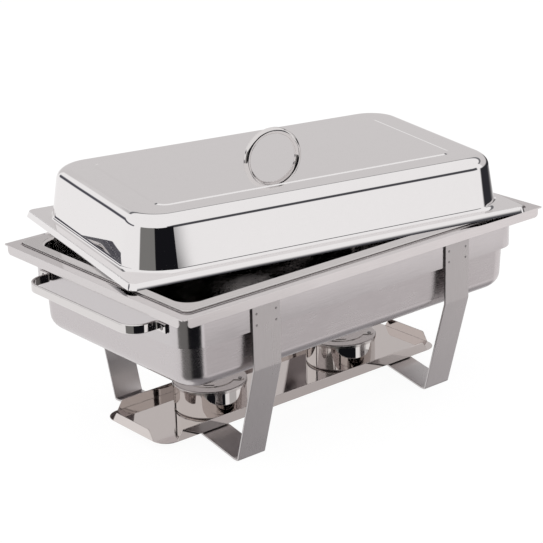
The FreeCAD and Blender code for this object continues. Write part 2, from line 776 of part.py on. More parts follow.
def make_cup(word, x):
    """Open round cup standing on the tray."""
    gauge = size("pan_gauge")
    low = tray_floor() + size("rest_gap")
    top = low + size("cup_tall")
    r = size("cup_wide") / 2
    corners = ((0, low), (r, low), (r, top), (r - gauge, top), (r - gauge, low + gauge), (0, low + gauge))
    bend = size("cup_bend")
    return spun("cup_" + word, "fuel_cup_" + word, x, corners, [None, bend, None, None, bend - gauge, None])


def make_cap(word, x):
    """Shallow cap over the cup with a round flame opening, bored for the damper's pivot."""
    gauge = size("pan_gauge")
    rest = tray_floor() + size("rest_gap") * 2 + size("cup_tall")
    top = rest + gauge
    inner = size("cup_wide") / 2 + size("cap_play")
    outer = inner + gauge
    hole = size("flame_wide") / 2
    low = rest - size("cap_skirt")
    corners = ((hole, rest), (inner, rest), (inner, low), (outer, low), (outer, top), (hole, top))
    edges = [None] * 4 + [size("cap_edge"), None]
    body = spun("cap_" + word, "cap_plain_" + word, x, corners, edges)
    px, py = pivot_point(x)
    radius = size("rivet_wide") / 2 + size("running_gap")
    past = size("past")
    bore = cylinder("cap_bore_" + word, radius, gauge + past * 2, (px, py, rest - past))
    return finish(cut("cap_cut_" + word, body, bore), "cup_cap_" + word)


def pivot_point(x):
    """Place of the damper's pivot."""
    angle = math.radians(size("damper_turn").value)
    px = x + size("damper_reach") * math.cos(angle)
    py = size("cup_y") + size("damper_reach") * math.sin(angle)
    return px, py


def cap_top():
    """Height of the cap's upper face."""
    return tray_floor() + size("rest_gap") * 2 + size("cup_tall") + size("pan_gauge")


def turned_box(name, extent, middle, out, turn):
    """Make a box turned about an upright axis, starting a set distance out from a middle point."""
    block = doc.addObject("Part::Box", name)
    for prop, length in zip(("Length", "Width", "Height"), extent):
        bind(block, prop, length)
    angle = math.radians(turn.value)
    half = extent[1] / 2
    x = middle[0] + as_length(out) * math.cos(angle) + half * math.sin(angle)
    y = middle[1] + as_length(out) * math.sin(angle) - half * math.cos(angle)
    z = middle[2]
    block.Placement = Placement(Vector(x.value, y.value, z.value), Rotation(Vector(0, 0, 1), turn.value))
    for letter, length in (("x", x), ("y", y), ("z", z)):
        bind(block, "Placement.Base." + letter, length)
    return block


def make_damper(word, x):
    """Round plate over the flame opening with an ear for the pivot and a lifting slot."""
    gauge = size("pan_gauge")
    low = cap_top() + size("damper_gap")
    px, py = pivot_point(x)
    disc = cylinder("damper_disc_" + word, size("damper_wide") / 2, gauge, (x, size("cup_y"), low))
    ear = cylinder("damper_ear_" + word, size("ear_wide") / 2, gauge, (px, py, low))
    web = turned_box("damper_web_" + word, (size("damper_reach"), size("ear_wide"), gauge),
                     (x, size("cup_y"), low), 0, size("damper_turn"))
    plate = fuse("damper_plate_" + word, [disc, ear, web])
    radius = size("rivet_wide") / 2 + size("running_gap")
    past = size("past")
    through = gauge + past * 2
    bore = cylinder("damper_bore_" + word, radius, through, (px, py, low - past))
    slot = turned_box("damper_slot_" + word, (size("slot_wide"), size("slot_long"), through),
                      (x, size("cup_y"), low - past), size("slot_out"), size("slot_turn"))
    tools = bundle("damper_tools_" + word, [bore, slot])
    return finish(cut("damper_cut_" + word, plate, tools), "damper_" + word)


def make_pivot(word, x):
    """Small rivet the damper swings on."""
    gauge = size("pan_gauge")
    px, py = pivot_point(x)
    under = cap_top() - gauge
    tail_tall = size("pivot_tail_tall")
    head_tall = size("pivot_head_tall")
    foot = under - tail_tall
    seat = cap_top() + gauge + size("pivot_play")
    length = seat + head_tall / 2 - foot
    shank = cylinder("pivot_shank_" + word, size("rivet_wide") / 2, length, (px, py, foot))
    head = cylinder("pivot_head_" + word, size("pivot_head_wide") / 2, head_tall, (px, py, seat))
    tail = cylinder("pivot_tail_" + word, size("pivot_tail_wide") / 2, tail_tall, (px, py, foot))
    return finish(fuse("pivot_" + word, [shank, head, tail]), "damper_rivet_" + word)


def make_tin(word, x):
    """Gel-fuel tin with a wide open mouth, standing inside the cup."""
    low = tray_floor() + size("rest_gap") * 2 + size("pan_gauge")
    top = low + size("tin_tall")
    r = size("tin_wide") / 2
    mouth = size("tin_mouth") / 2
    wall = size("tin_gauge")
    bend = size("tin_bend")
    corners = ((0, low), (r, low), (r, top), (mouth, top), (mouth, top - wall), (r - wall, top - wall),
               (r - wall, low + wall), (0, low + wall))
    bends = [None, None, bend, None, None, bend - wall, None, None]
    return spun("tin_" + word, "fuel_tin_" + word, x, corners, bends)


def build():
    """Make every sub-part in order and return them."""
    rivet_holes = make_rivet_holes()
    pin_holes = make_pin_holes()
    parts = [make_rim(), make_skirt(bundle("skirt_holes", [rivet_holes, pin_holes]))]
    for word, way in LEG_SIDES:
        parts.append(make_leg(word, way, rivet_holes))
    parts += [make_rivets(), make_pins()]
    for word, way in LEG_SIDES:
        parts.append(make_end_handle(word, way, pin_holes))
    gap = size("rest_gap")
    seat = size("rim_top") - size("seat_step")
    water_top = seat + gap + size("flange_lip")
    food_top = water_top + gap + size("flange_lip")
    parts.append(make_pan("water_pan", water_top, size("water_low"), size("water_long"),
                          size("water_deep"), size("water_corner"), size("water_bend")))
    parts.append(make_pan("food_pan", food_top, size("food_low"), size("food_long"),
                          size("food_deep"), size("food_corner"), size("food_bend")))
    past = size("past")
    low = lid_roof() - size("pan_gauge") - past
    screw_radius = size("pin_wide") / 2 + size("running_gap")
    screw_holes = lid_screw_bars("lid_bore", screw_radius, low, size("pan_gauge") + past * 2)
    parts += [make_lid_shell(screw_holes), make_lid_handle(), make_lid_screws(), make_lid_washers()]
    parts.append(make_tray())
    for word, x in (("left", size("cup_left")), ("right", size("cup_right"))):
        parts += [make_cup(word, x), make_cap(word, x), make_damper(word, x), make_pivot(word, x),
                  make_tin(word, x)]
    return parts


def save(parts):
    """Check each sub-part and write it under its own name."""
    doc.recompute()
    for thing in doc.Objects:
        if "Invalid" in thing.State or "Error" in thing.State:
            raise RuntimeError(thing.Name + " did not compute")
    os.makedirs("parts", exist_ok=True)
    for part in parts:
        shape = part.Shape
        if shape.isNull() or not shape.isValid() or not shape.Solids:
            raise RuntimeError(part.Label + " has no sound shape")
        shape.exportStep("parts/" + part.Label + ".step")
        box = shape.BoundBox
        print(part.Label, len(shape.Solids), round(shape.Volume, 1), box)


save(build())
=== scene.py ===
"""Looks for the full-size chafing dish: stainless finishes, drawn and folded sheet pieces, studio and camera.

Everything is in metres in the row frame: X along the dish, -Y the serving side, +Z up, Z = 0 on the table.
"""

import json
import logging
import math
from collections.abc import Sequence
from dataclasses import dataclass, field
from enum import Enum

import bmesh
import bpy
import numpy as np
from mathutils import Matrix, Vector

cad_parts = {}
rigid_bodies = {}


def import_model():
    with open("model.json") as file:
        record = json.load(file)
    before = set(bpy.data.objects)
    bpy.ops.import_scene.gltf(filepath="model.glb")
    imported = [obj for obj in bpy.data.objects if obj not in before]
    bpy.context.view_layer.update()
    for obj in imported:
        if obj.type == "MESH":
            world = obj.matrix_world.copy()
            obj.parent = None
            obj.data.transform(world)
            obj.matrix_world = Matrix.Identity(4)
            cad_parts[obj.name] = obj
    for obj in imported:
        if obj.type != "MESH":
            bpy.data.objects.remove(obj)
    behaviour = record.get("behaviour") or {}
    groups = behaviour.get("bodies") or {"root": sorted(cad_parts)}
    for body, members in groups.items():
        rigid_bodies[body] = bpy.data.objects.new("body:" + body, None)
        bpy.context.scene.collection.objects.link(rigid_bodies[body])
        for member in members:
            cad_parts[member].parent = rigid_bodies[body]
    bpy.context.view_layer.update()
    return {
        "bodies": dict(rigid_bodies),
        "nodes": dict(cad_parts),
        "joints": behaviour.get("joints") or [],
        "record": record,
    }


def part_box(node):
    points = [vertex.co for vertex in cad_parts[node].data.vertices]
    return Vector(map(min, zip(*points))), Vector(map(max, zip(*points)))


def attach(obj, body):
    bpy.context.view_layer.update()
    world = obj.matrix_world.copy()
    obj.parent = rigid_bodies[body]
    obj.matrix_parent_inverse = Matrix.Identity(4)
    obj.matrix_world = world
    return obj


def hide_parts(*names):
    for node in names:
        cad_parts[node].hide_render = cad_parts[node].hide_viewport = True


log = logging.getLogger("chafing_dish")

MM = 0.001
SHEET = 1.0 * MM
PAN_GAUGE = 0.8 * MM
SHEET_EDGE = 0.35 * MM
LID_TURN = math.radians(-12)
ALONG_Y_UPRIGHT = Matrix(((0, 0, 1, 0), (1, 0, 0, 0), (0, 1, 0, 0), (0, 0, 0, 1)))
ALONG_X_UPRIGHT = Matrix(((1, 0, 0, 0), (0, 0, -1, 0), (0, 1, 0, 0), (0, 0, 0, 1)))


def linear(hex_colour: str) -> tuple[float, float, float, float]:
    """Turn an sRGB hex colour into linear light.

    Args:
        hex_colour: six hex digits, such as "C8C2C3".

    Returns:
        Linear red, green, blue and an alpha of one.
    """
    values = [int(hex_colour[i : i + 2], 16) / 255 for i in (0, 2, 4)]
    curve = [v / 12.92 if v <= 0.04045 else ((v + 0.055) / 1.055) ** 2.4 for v in values]
    return (*curve, 1.0)


def add_node(tree: bpy.types.NodeTree, kind: str, settings: dict | None = None,
             inputs: dict | None = None) -> bpy.types.Node:
    """Add one node with its settings and links.

    Args:
        tree: the node tree that gets the node.
        kind: the node's type identifier.
        settings: attributes set on the node itself.
        inputs: for each input name or index, a plain value, or a socket to link from.

    Returns:
        The new node.
    """
    node = tree.nodes.new(kind)
    for key, value in (settings or {}).items():
        setattr(node, key, value)
    for key, value in (inputs or {}).items():
        if isinstance(value, bpy.types.NodeSocket):
            tree.links.new(value, node.inputs[key])
        else:
            node.inputs[key].default_value = value
    return node


# ---------------------------------------------------------------- finishes

STRETCH = 26.0
SMEAR = 38 * MM
LINE_SHARE = 0.55
LINE_SHADE = 0.05
BASE_SHADE = 0.01


class Grain(Enum):
    """Which way the fine abrasive lines run on a finish."""

    ALONG = (1.0, STRETCH, STRETCH)
    UPRIGHT = (STRETCH, 8.0, 1.0)
    NONE = (3.0, 3.0, 3.0)


@dataclass(frozen=True)
class Steel:
    """Bare metal with the surface that the maker gave it.

    The colour is the metal's own reflection and roughness is its blur, give or take the spread. The grain
    is the belt's lines, line_mm apart and scratch mm deep. The wave is how far, in mm, thin sheet springs
    out of flat, and wave_mm is how wide each swell is. The turn squares the grain to a turned piece.
    """

    name: str
    colour: str
    roughness: float
    spread: float = 0.03
    grain: Grain = Grain.NONE
    line_mm: float = 0.9
    scratch: float = 0.0
    wave: float = 0.0
    wave_mm: float = 70.0
    turn: float = 0.0

    def material(self) -> bpy.types.Material:
        """Build the finish's material, once.

        Returns:
            The material with this finish's name.
        """
        found = bpy.data.materials.get(self.name)
        if found:
            return found
        made = bpy.data.materials.new(self.name)
        made.use_nodes = True
        tree = made.node_tree
        shader = tree.nodes["Principled BSDF"]
        shader.inputs["Metallic"].default_value = 1.0
        place = add_node(tree, "ShaderNodeTexCoord").outputs["Object"]
        lined = add_node(tree, "ShaderNodeMapping", None,
                         {"Vector": place, "Rotation": (0, 0, self.turn), "Scale": self.grain.value})
        lines = add_node(tree, "ShaderNodeTexNoise", None,
                         {"Vector": lined.outputs[0], "Scale": 1 / (self.line_mm * MM * STRETCH),
                          "Detail": 3.0})
        smears = add_node(tree, "ShaderNodeTexNoise", None,
                          {"Vector": place, "Scale": 1 / SMEAR, "Detail": 4.0, "Roughness": 0.6})
        both = add_node(tree, "ShaderNodeMath", {"operation": "MULTIPLY_ADD"},
                        {0: lines.outputs["Fac"], 1: LINE_SHARE, 2: smears.outputs["Fac"]})
        rough = add_node(tree, "ShaderNodeMapRange", None,
                         {"Value": both.outputs[0], "From Min": 0.45, "From Max": 1.1,
                          "To Min": max(self.roughness - self.spread, 0.01),
                          "To Max": self.roughness + self.spread})
        tree.links.new(rough.outputs["Result"], shader.inputs["Roughness"])
        tone = add_node(tree, "ShaderNodeMixRGB", {"blend_type": "MULTIPLY"},
                        {"Fac": 1.0, "Color1": linear(self.colour)})
        shade = add_node(tree, "ShaderNodeMapRange", None,
                         {"Value": lines.outputs["Fac"], "From Min": 0.3, "From Max": 0.7,
                          "To Min": 1.0 - LINE_SHADE * (self.scratch > 0) - BASE_SHADE, "To Max": 1.0})
        tree.links.new(shade.outputs["Result"], tone.inputs["Color2"])
        tree.links.new(tone.outputs[0], shader.inputs["Base Color"])
        swell = add_node(tree, "ShaderNodeTexNoise", None,
                         {"Vector": place, "Scale": 1 / (self.wave_mm * MM), "Detail": 0.0})
        wavy = add_node(tree, "ShaderNodeBump", None,
                        {"Height": swell.outputs["Fac"], "Strength": 1.0, "Distance": self.wave * MM})
        last = add_node(tree, "ShaderNodeBump", None,
                        {"Height": lines.outputs["Fac"], "Strength": 1.0, "Distance": self.scratch * MM,
                         "Normal": wavy.outputs[0]})
        tree.links.new(last.outputs[0], shader.inputs["Normal"])
        return made


# Buffed to a mirror, so it shows the studio as sharp bands that bend with the drawn shape.
BUFFED_LID = Steel("buffed_mirror_steel_lid", "ECEAEA", 0.035, 0.02, wave=0.6, wave_mm=90, turn=-LID_TURN)
# Belt-grained satin sheet: soft grey with faint lines along the dish.
SATIN_SKIRT = Steel("satin_belt_grained_steel_skirt", "CECACB", 0.18, 0.04, Grain.ALONG, 0.8, 0.003, 0.25)
# Bright rolled edge, a little softer than a mirror.
BRIGHT_RIM = Steel("bright_folded_steel_rim", "DAD6D6", 0.10, 0.04, Grain.ALONG, 0.8, 0.004, 0.2)
# Drawn pan left satin by the press and the polishing mop.
SATIN_PAN = Steel("satin_drawn_steel_pan", "CDC8C9", 0.26, 0.04, Grain.ALONG, 0.8, 0.003, 0.3)
BRIGHT_PAN = Steel("bright_drawn_steel_food_pan", "CFCCCB", 0.11, 0.04, Grain.NONE, 0.8, 0.0, 0.2)
# Flat bar brushed along its length, the dullest surface on the dish.
BRUSHED_BAR = Steel("brushed_flat_steel_strap", "C2BEBE", 0.30, 0.05, Grain.UPRIGHT, 0.8, 0.014, 0.1)
POLISHED_BAR = Steel("polished_steel_handle_bar", "DEDBDA", 0.05, 0.02, wave=0.02, wave_mm=30)
POLISHED_TRAY = Steel("polished_steel_tray", "D6CFCC", 0.05, 0.02, wave=0.12, wave_mm=60)
BUFFED_CUP = Steel("buffed_mirror_steel_cup", "D9D6D4", 0.035, 0.015, wave=0.05, wave_mm=25)
SATIN_CAP = Steel("satin_burner_cap_steel", "C4BFBD", 0.22, 0.06)
# Tinplate has a cooler, softer shine than stainless.
TINPLATE = Steel("tinplate_fuel_tin", "B4B6B8", 0.25, 0.06)
TURNED_STEEL = Steel("turned_steel_fastener", "8F8C8C", 0.28, 0.06, line_mm=0.3)


# ---------------------------------------------------------------- mesh making

LEAST_CORNER = 0.2 * MM
WELD = 1e-6
CAD_WELD = 2e-6
FLAT_ANGLE = math.radians(0.5)
FOLD_ANGLE = math.radians(40)


def rounded_route(corners: Sequence[Sequence[float]], bends: Sequence[float],
                  plane: tuple[int, int] = (0, 1), steps: int = 8) -> list[np.ndarray]:
    """Round the corners of an open route with arcs.

    Args:
        corners: the route's corner points, with any number of values each.
        bends: the bend radius at each corner, measured in the plane below.
        plane: which two values the radius is measured in.
        steps: how many spans each bend is made of.

    Returns:
        The points of the rounded route.
    """
    points = [np.array(corner, float) for corner in corners]
    route = []
    for index, (point, bend) in enumerate(zip(points, bends)):
        if bend <= 0 or index in (0, len(points) - 1):
            route.append(point)
            continue
        ways = []
        for other in (points[index - 1], points[index + 1]):
            way = other - point
            ways.append(way / np.linalg.norm(way[list(plane)]))
        flat = [way[list(plane)] for way in ways]
        open_angle = math.acos(max(-1.0, min(1.0, float(flat[0] @ flat[1]))))
        reach = bend / math.tan(open_angle / 2)
        lever = 4 / 3 * math.tan((math.pi - open_angle) / 4) * bend
        poles = [point + ways[0] * reach, point + ways[0] * (reach - lever),
                 point + ways[1] * (reach - lever), point + ways[1] * reach]
        for step in range(steps + 1):
            t = step / steps
            weights = ((1 - t) ** 3, 3 * t * (1 - t) ** 2, 3 * t * t * (1 - t), t ** 3)
            route.append(sum(weight * pole for weight, pole in zip(weights, poles)))
    return route


def ring_points(half_long: float, half_deep: float, corner: float, up: float,
                arc: int = 14, runs: tuple[int, int] = (9, 5)) -> list[tuple[float, float, float]]:
    """Points round one level rounded rectangle, counter-clockwise from above.

    Args:
        half_long: half its length along X.
        half_deep: half its depth along Y.
        corner: its corner radius.
        up: its height.
        arc: spans in each corner.
        runs: extra points along a long side and along a short side.

    Returns:
        The points in order.
    """
    corner = max(corner, LEAST_CORNER)
    arcs = []
    for quarter, (way_x, way_y) in enumerate(((1, 1), (-1, 1), (-1, -1), (1, -1))):
        middle = (way_x * (half_long - corner), way_y * (half_deep - corner))
        turns = [math.pi / 2 * (quarter + step / arc) for step in range(arc + 1)]
        arcs.append([(middle[0] + corner * math.cos(turn), middle[1] + corner * math.sin(turn), up)
                     for turn in turns])
    points = []
    for quarter, bend in enumerate(arcs):
        points += bend
        start, end = Vector(bend[-1]), Vector(arcs[(quarter + 1) % 4][0])
        count = runs[quarter % 2]
        points += [tuple(start.lerp(end, (step + 1) / (count + 1))) for step in range(count)]
    return points


def shell(name: str, turns: Sequence[Sequence[float]], bends: Sequence[float], gauge: float,
          closed: bool = False, steps: int = 8) -> bpy.types.Object:
    """Make a pressed sheet piece from the outline levels that its wall passes through.

    Args:
        name: the piece's name.
        turns: corners of the wall's section, each as half length, half depth, corner radius and height.
        bends: bend radius at each of those corners.
        gauge: thickness of the sheet, which lies behind the given surface.
        closed: whether the last outline is closed by a flat sheet.
        steps: spans in each bend.

    Returns:
        The piece, with a live Solidify modifier.
    """
    rings = [ring_points(*level) for level in rounded_route(turns, bends, (1, 3), steps)]
    count = len(rings[0])
    verts = [point for ring in rings for point in ring]
    faces = []
    for level in range(len(rings) - 1):
        for spot in range(count):
            beside = (spot + 1) % count
            faces.append((level * count + spot, level * count + beside,
                          (level + 1) * count + beside, (level + 1) * count + spot))
    if closed:
        faces.append(tuple((len(rings) - 1) * count + spot for spot in range(count)))
    piece = new_piece(name, verts, faces)
    wall = piece.modifiers.new("sheet", "SOLIDIFY")
    wall.thickness = gauge
    wall.offset = -1.0
    wall.use_even_offset = True
    return piece


def new_piece(name: str, verts: Sequence, faces: Sequence = (), edges: Sequence = ()) -> bpy.types.Object:
    """Link a new mesh object made of these points, faces and loose edges."""
    mesh = bpy.data.meshes.new(name)
    mesh.from_pydata([tuple(v) for v in verts], edges, faces)
    piece = bpy.data.objects.new(name, mesh)
    bpy.context.scene.collection.objects.link(piece)
    return piece


def lathe(name: str, section: Sequence[Sequence[float]], centre: Vector,
          segments: int = 112) -> bpy.types.Object:
    """Turn a closed section about an upright axis.

    Args:
        name: the piece's name.
        section: points as radius and height, from the axis out and back to the axis.
        centre: a point on the axis.
        segments: spans round the axis.

    Returns:
        The closed piece, in place.
    """
    mesh = bmesh.new()
    verts = [mesh.verts.new((centre.x + radius, centre.y, up)) for radius, up in section]
    edges = [mesh.edges.new(pair) for pair in zip(verts, verts[1:])]
    if section[0][0] > 0:
        edges.append(mesh.edges.new((verts[-1], verts[0])))
    bmesh.ops.spin(mesh, geom=verts + edges, cent=centre, axis=(0, 0, 1), angle=math.tau, steps=segments)
    bmesh.ops.remove_doubles(mesh, verts=mesh.verts, dist=WELD)
    bmesh.ops.recalc_face_normals(mesh, faces=mesh.faces)
    piece = new_piece(name, [])
    mesh.to_mesh(piece.data)
    mesh.free()
    return piece


def settle(piece: bpy.types.Object, smooth_angle: float = 35.0,
           place: Matrix | None = None) -> bpy.types.Object:
    """Apply a piece's modifiers, smooth its curved faces and put its place into its mesh.

    Args:
        piece: the object to finish.
        smooth_angle: edges sharper than this, in degrees, stay crisp.
        place: where the piece goes, if its mesh isn't there already.

    Returns:
        The same object with a plain mesh and no modifiers.
    """
    if place is not None:
        piece.data.transform(place)
    piece.data.set_sharp_from_angle(angle=math.radians(smooth_angle))
    for face in piece.data.polygons:
        face.use_smooth = True
    lean = piece.modifiers.new("flat_faces_stay_flat", "WEIGHTED_NORMAL")
    lean.keep_sharp = True
    bake_down(piece)
    return piece


def bake_down(piece: bpy.types.Object) -> None:
    """Swap a piece's mesh for its evaluated one and clear its modifiers."""
    bpy.context.view_layer.update()
    evaluated = piece.evaluated_get(bpy.context.evaluated_depsgraph_get())
    mesh = bpy.data.meshes.new_from_object(evaluated, preserve_all_data_layers=True,
                                           depsgraph=bpy.context.evaluated_depsgraph_get())
    piece.modifiers.clear()
    piece.data = mesh


def softened(node: str, name: str, edge: float) -> bpy.types.Object:
    """Copy a folded sheet piece and take the sharpness off its edges.

    Args:
        node: the CAD node to copy.
        name: the new piece's name.
        edge: width of the softened edge.

    Returns:
        The new piece, finished.
    """
    mesh = bmesh.new()
    mesh.from_mesh(bpy.data.objects[node].data)
    bmesh.ops.remove_doubles(mesh, verts=mesh.verts, dist=CAD_WELD)
    bmesh.ops.dissolve_limit(mesh, angle_limit=FLAT_ANGLE, verts=mesh.verts, edges=mesh.edges)
    piece = new_piece(name, [])
    mesh.to_mesh(piece.data)
    mesh.free()
    bevel = piece.modifiers.new("edge", "BEVEL")
    bevel.width = edge
    bevel.segments = 2
    bevel.limit_method = "ANGLE"
    bevel.angle_limit = FOLD_ANGLE
    bake_down(piece)
    return settle(piece)


def dress(piece: bpy.types.Object, finish: Steel, body: str, slot: str, *nodes: str) -> None:
    """Give a finished piece its material, its body and the CAD nodes that it stands for.

    Args:
        piece: the finished piece.
        finish: the steel finish that it wears.
        body: the CAD body that it rides on.
        slot: the record's material slot; not used.
        nodes: CAD nodes that it replaces.
    """
    piece.data.materials.clear()
    piece.data.materials.append(finish.material())
    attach(piece, body)
    if nodes:
        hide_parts(*nodes)
    log.info("%s rides on %s in %s", piece.name, body, finish.name)


def wear(frame: dict, node: str, finish: Steel) -> None:
    """Give a carried-over CAD node a better finish."""
    piece = frame["nodes"][node]
    if not piece.material_slots:
        piece.data.materials.append(None)
    for place in piece.material_slots:
        place.material = finish.material()
    log.info("%s keeps its shape and wears %s", node, finish.name)


# ---------------------------------------------------------------- geometry nodes


def new_tree(name: str, sizes: dict[str, str]) -> bpy.types.NodeTree:
    """Start a geometry tree with named inputs.

    Args:
        name: the tree's name.
        sizes: for each input its socket type.

    Returns:
        The tree, with its Geometry input and output.
    """
    tree = bpy.data.node_groups.new(name, "GeometryNodeTree")
    tree.interface.new_socket("Geometry", in_out="INPUT", socket_type="NodeSocketGeometry")
    for label, kind in sizes.items():
        tree.interface.new_socket(label, in_out="INPUT", socket_type=kind)
    tree.interface.new_socket("Geometry", in_out="OUTPUT", socket_type="NodeSocketGeometry")
    return tree


def run_tree(piece: bpy.types.Object, tree: bpy.types.NodeTree, values: dict) -> None:
    """Run a geometry tree on a piece and keep the plain mesh.

    Args:
        piece: the object that the tree starts from.
        tree: the geometry tree.
        values: a value for each of its named inputs.
    """
    modifier = piece.modifiers.new(tree.name, "NODES")
    modifier.node_group = tree
    for item in tree.interface.items_tree:
        if item.in_out == "INPUT" and item.name in values:
            modifier[item.identifier] = values[item.name]
    bake_down(piece)


def bar_tree() -> bpy.types.NodeTree:
    """Geometry tree that sweeps a rounded bar section along a route."""
    tree = new_tree("bar_along_route", {"Width": "NodeSocketFloat", "Thickness": "NodeSocketFloat",
                                        "Edge": "NodeSocketFloat", "Finish": "NodeSocketMaterial"})
    given = add_node(tree, "NodeGroupInput")
    route = add_node(tree, "GeometryNodeMeshToCurve", None, {"Mesh": given.outputs["Geometry"]})
    level = add_node(tree, "GeometryNodeSetCurveNormal", {"mode": "Z_UP"}, {"Curve": route.outputs[0]})
    outline = add_node(tree, "GeometryNodeCurvePrimitiveQuadrilateral", None,
                       {"Width": given.outputs["Thickness"], "Height": given.outputs["Width"]})
    soft = add_node(tree, "GeometryNodeFilletCurve", {"mode": "POLY"},
                    {"Curve": outline.outputs[0], "Count": 4, "Radius": given.outputs["Edge"]})
    swept = add_node(tree, "GeometryNodeCurveToMesh", None,
                     {"Curve": level.outputs[0], "Profile Curve": soft.outputs[0], "Fill Caps": True})
    whole = add_node(tree, "GeometryNodeRealizeInstances", None, {"Geometry": swept.outputs[0]})
    worn = add_node(tree, "GeometryNodeSetMaterial", None,
                    {"Geometry": whole.outputs[0], "Material": given.outputs["Finish"]})
    add_node(tree, "NodeGroupOutput", None, {"Geometry": worn.outputs[0]})
    return tree


def head_tree() -> bpy.types.NodeTree:
    """Geometry tree that sets one low domed head at each point, facing along the point's own direction."""
    tree = new_tree("domed_heads", {"Radius": "NodeSocketFloat", "Crown": "NodeSocketFloat",
                                    "Finish": "NodeSocketMaterial"})
    given = add_node(tree, "NodeGroupInput")
    ball = add_node(tree, "GeometryNodeMeshUVSphere", None, {"Segments": 24, "Rings": 10, "Radius": 1.0})
    span = add_node(tree, "ShaderNodeCombineXYZ", None,
                    {"X": given.outputs["Radius"], "Y": given.outputs["Radius"], "Z": given.outputs["Crown"]})
    head = add_node(tree, "GeometryNodeTransform", None,
                    {"Geometry": ball.outputs[0], "Scale": span.outputs[0]})
    facing = add_node(tree, "GeometryNodeInputNamedAttribute", {"data_type": "FLOAT_VECTOR"},
                      {"Name": "facing"})
    turned = add_node(tree, "FunctionNodeAlignRotationToVector", {"axis": "Z"},
                      {"Vector": facing.outputs["Attribute"]})
    spots = add_node(tree, "GeometryNodeMeshToPoints", None, {"Mesh": given.outputs["Geometry"]})
    heads = add_node(tree, "GeometryNodeInstanceOnPoints", None,
                     {"Points": spots.outputs[0], "Instance": head.outputs[0], "Rotation": turned.outputs[0]})
    whole = add_node(tree, "GeometryNodeRealizeInstances", None, {"Geometry": heads.outputs[0]})
    worn = add_node(tree, "GeometryNodeSetMaterial", None,
                    {"Geometry": whole.outputs[0], "Material": given.outputs["Finish"]})
    add_node(tree, "NodeGroupOutput", None, {"Geometry": worn.outputs[0]})
    return tree


def bent_bar(name: str, route: Sequence[Sequence[float]], bends: Sequence[float],
             section: tuple[float, float, float], finish: Steel, place: Matrix,
             steps: int = 12) -> bpy.types.Object:
    """Bend a bar along a route drawn flat and put it in place.

    Args:
        name: the piece's name.
        route: corner points of the bar's middle line, in its own plane.
        bends: bend radius at each corner.
        section: width square to the plane, thickness in the plane, and edge radius.
        finish: the steel that it wears.
        place: from the bar's own plane to the row frame.
        steps: spans in each bend.

    Returns:
        The finished bar.
    """
    points = [(x, y, 0.0) for x, y in rounded_route(route, bends, steps=steps)]
    piece = new_piece(name, points, edges=[(index, index + 1) for index in range(len(points) - 1)])
    tree = bpy.data.node_groups.get("bar_along_route") or bar_tree()
    width, thickness, edge = section
    run_tree(piece, tree, {"Width": width, "Thickness": thickness, "Edge": edge, "Finish": finish.material()})
    return settle(piece, place=place)


def domed_heads(name: str, spots: Sequence[tuple[Vector, Vector]], radius: float, crown: float,
                finish: Steel) -> bpy.types.Object:
    """Set one low domed head at each spot.

    Args:
        name: the piece's name.
        spots: a point and a facing direction for each head.
        radius: the head's radius.
        crown: how far it stands proud.
        finish: the steel that it wears.

    Returns:
        One finished piece that holds all the heads.
    """
    piece = new_piece(name, [spot for spot, _ in spots])
    facing = piece.data.attributes.new("facing", "FLOAT_VECTOR", "POINT")
    facing.data.foreach_set("vector", [value for _, way in spots for value in way])
    tree = bpy.data.node_groups.get("domed_heads") or head_tree()
    run_tree(piece, tree, {"Radius": radius, "Crown": crown, "Finish": finish.material()})
    return settle(piece)


# ---------------------------------------------------------------- the dish


@dataclass
class Skirting:
    """The fixed frame's sheet pieces: the folded rim and the deep band under it."""

    corner: float = 30 * MM

    def build(self) -> None:
        """Make the rim and the skirt."""
        rim = softened("rim", "folded_rim", SHEET_EDGE)
        dress(rim, BRIGHT_RIM, "frame", "rim", "rim")
        low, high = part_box("skirt")
        turns = ((high.x, high.y, self.corner, low.z), (high.x, high.y, self.corner, high.z))
        band = settle(shell("deep_skirt", turns, (0, 0), SHEET))
        dress(band, SATIN_SKIRT, "frame", "skirt", "skirt")


@dataclass
class Straps:
    """Two flat bars, each bent into a front leg, a bridge under the tray and a back leg."""

    gauge: float = 2.5 * MM
    edge: float = 0.45 * MM
    knee: float = 123.5 * MM
    foot: float = 122 * MM
    toe: float = 8 * MM
    level_half: float = 50 * MM
    level_up: float = 12.5 * MM
    bends: tuple[float, ...] = (0, 6 * MM, 2.5 * MM, 8 * MM, 40 * MM)

    def build(self) -> None:
        """Make both straps."""
        for side in ("left", "right"):
            node = "leg_" + side
            low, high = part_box(node)
            half = self.gauge / 2
            face = high.y - half
            foot = self.foot - half
            level = self.level_up + half
            front = [(-face, high.z), (-face, self.knee), (-foot, half), (-foot + self.toe - half, half),
                     (-self.level_half, level)]
            back = [(-y, z) for y, z in reversed(front)]
            bends = self.bends + self.bends[::-1]
            middle = (low.x + high.x) / 2
            place = Matrix.Translation((middle, 0, 0)) @ ALONG_Y_UPRIGHT
            section = (high.x - low.x, self.gauge, self.edge)
            strap = bent_bar("strap_" + side, front + back, bends, section, BRUSHED_BAR, place)
            dress(strap, BRUSHED_BAR, "frame", "leg_strap", node)


